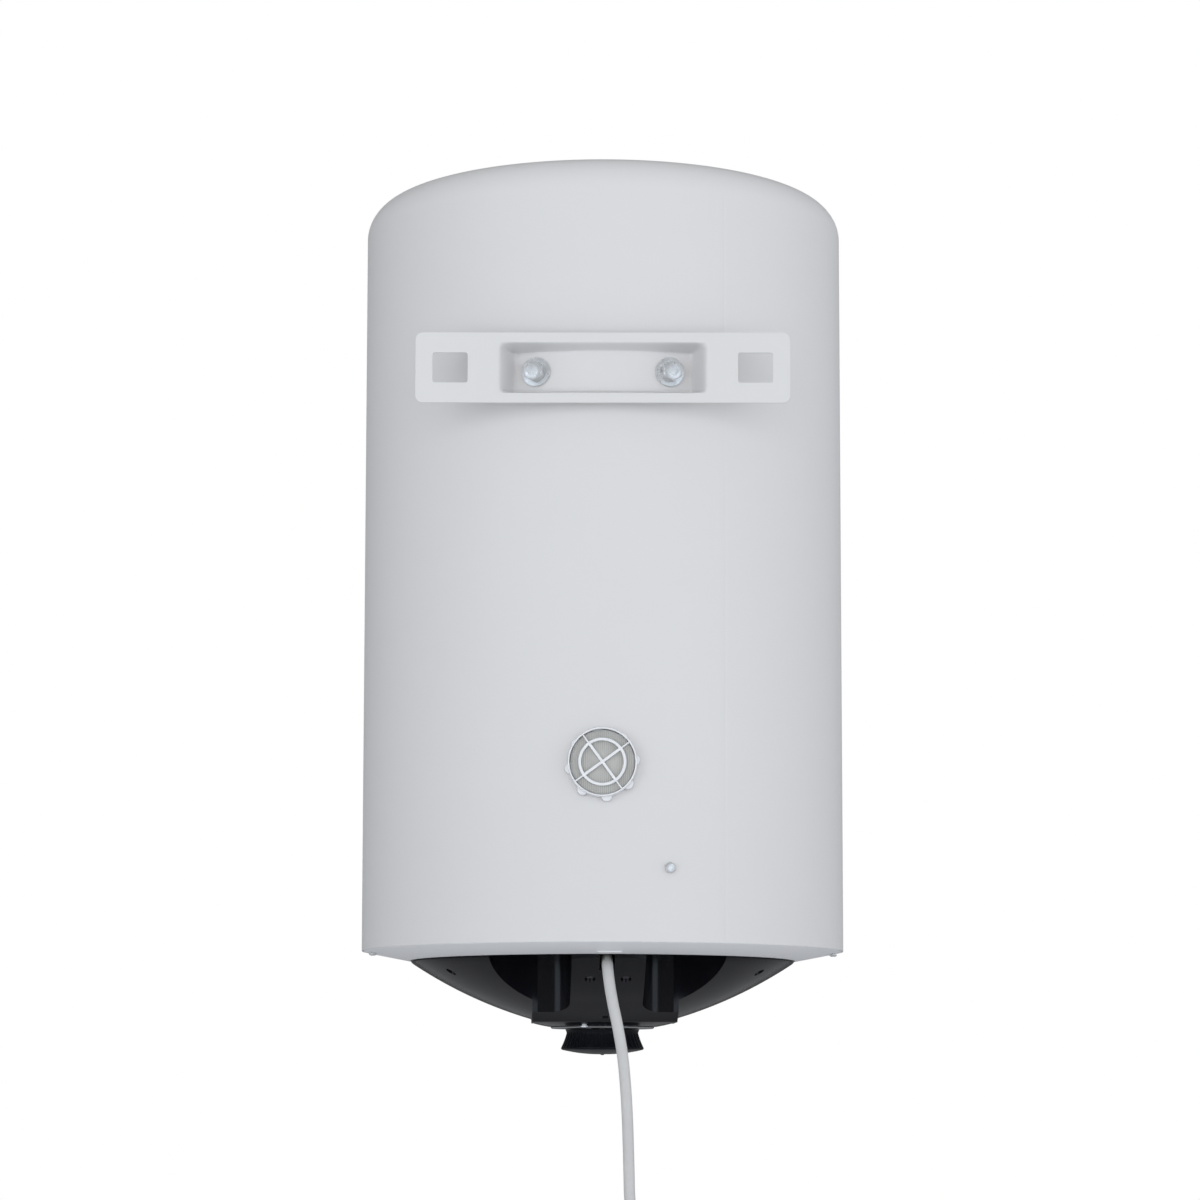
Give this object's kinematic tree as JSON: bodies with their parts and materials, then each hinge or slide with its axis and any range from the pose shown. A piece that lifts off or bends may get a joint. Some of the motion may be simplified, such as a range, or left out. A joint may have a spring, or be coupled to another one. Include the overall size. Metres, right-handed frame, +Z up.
{
  "type": "tank water heater",
  "caption": "Wall-hung upright electric storage water heater: round white jacket on a hook bracket, black domed bottom cover with pipe pockets, thermostat knob and mains lead.",
  "frame": {"origin": "on the wall plane, midway between the two hook holes of the wall bracket", "axes": "+Z up, +Y into the wall, +X to the right for someone who stands in front of the heater and faces the wall"},
  "size_m": [0.45, 0.467, 1.1874],
  "materials": {
    "white_paint": "satin white paint",
    "white_plastic": "satin",
    "black_plastic": "semi-gloss",
    "knob_plastic": "satin",
    "zinc_steel": "bright zinc plate",
    "tank_enamel": "glass enamel",
    "yellow_foam": "rigid foam",
    "port_mesh": "fine open mesh",
    "silver_trim": "bright",
    "copper_sheath": "drawn copper",
    "anode_metal": "cast",
    "black_rubber": "matt",
    "pipe_steel": "drawn",
    "blue_plastic": "satin",
    "red_plastic": "satin",
    "cream_plastic": "satin",
    "lamp_lens": "milky",
    "grey_cord": "satin",
    "plug_brass": "bright"
  },
  "bodies": {
    "heater": {"outer_jacket": "white_paint", "top_cap": "white_paint", "wall_bracket": "white_paint", "bottom_cap": "white_plastic", "foam_port_cap": "white_plastic", "foam_port_mesh": "port_mesh", "bottom_cover": "black_plastic", "cold_pocket_liner": "black_plastic", "hot_pocket_liner": "black_plastic", "knob_trim_ring": "silver_trim", "indicator_lamp": "lamp_lens", "bracket_bolt_left": "zinc_steel", "bracket_bolt_right": "zinc_steel", "bracket_washer_left": "zinc_steel", "bracket_washer_right": "zinc_steel", "bracket_spring_washer_left": "zinc_steel", "bracket_spring_washer_right": "zinc_steel", "mounting_boss_left": "zinc_steel", "mounting_boss_right": "zinc_steel", "jacket_screw": "zinc_steel", "bottom_cap_screw_1": "zinc_steel", "bottom_cap_screw_2": "zinc_steel", "bottom_cap_screw_3": "zinc_steel", "bottom_cap_screw_4": "zinc_steel", "cover_screw_1": "zinc_steel", "cover_screw_2": "zinc_steel", "cover_screw_3": "zinc_steel", "cord_clamp_screw_left": "zinc_steel", "cord_clamp_screw_right": "zinc_steel", "cord_clamp": "cream_plastic", "inner_tank": "tank_enamel", "insulation_foam": "yellow_foam", "flange_plate": "zinc_steel", "flange_gasket": "black_rubber", "flange_bolt_1": "zinc_steel", "flange_bolt_2": "zinc_steel", "flange_bolt_3": "zinc_steel", "flange_bolt_4": "zinc_steel", "flange_bolt_5": "zinc_steel", "heating_element": "copper_sheath", "thermowell": "copper_sheath", "anode_rod": "anode_metal", "thermostat_body": "cream_plastic", "thermal_cutout": "cream_plastic", "terminal_block": "cream_plastic", "cold_inlet_pipe": "pipe_steel", "hot_outlet_pipe": "pipe_steel", "cold_inlet_ring": "blue_plastic", "hot_outlet_ring": "red_plastic", "power_cord": "grey_cord", "cord_coil": "grey_cord", "coil_tie": "black_rubber", "cord_lead": "grey_cord", "plug_body": "grey_cord", "plug_pin_left": "plug_brass", "plug_pin_right": "plug_brass"},
    "knob": {"thermostat_knob": "knob_plastic", "thermostat_spindle": "zinc_steel"},
    "reset": {"reset_button": "red_plastic"}
  },
  "joints": [
    {"name": "knob_turn", "type": "hinge", "parent": "heater", "child": "knob", "pos_m": [0, -0.242, -0.5792], "axis": [0, 0, 1], "range_deg": [0, 280]},
    {"name": "reset_press", "type": "slide", "parent": "heater", "child": "reset", "axis": [0, 0, 1], "range_m": [0, 0.0015], "stiffness_N_per_m": 300, "springref_m": -0.001}
  ]
}
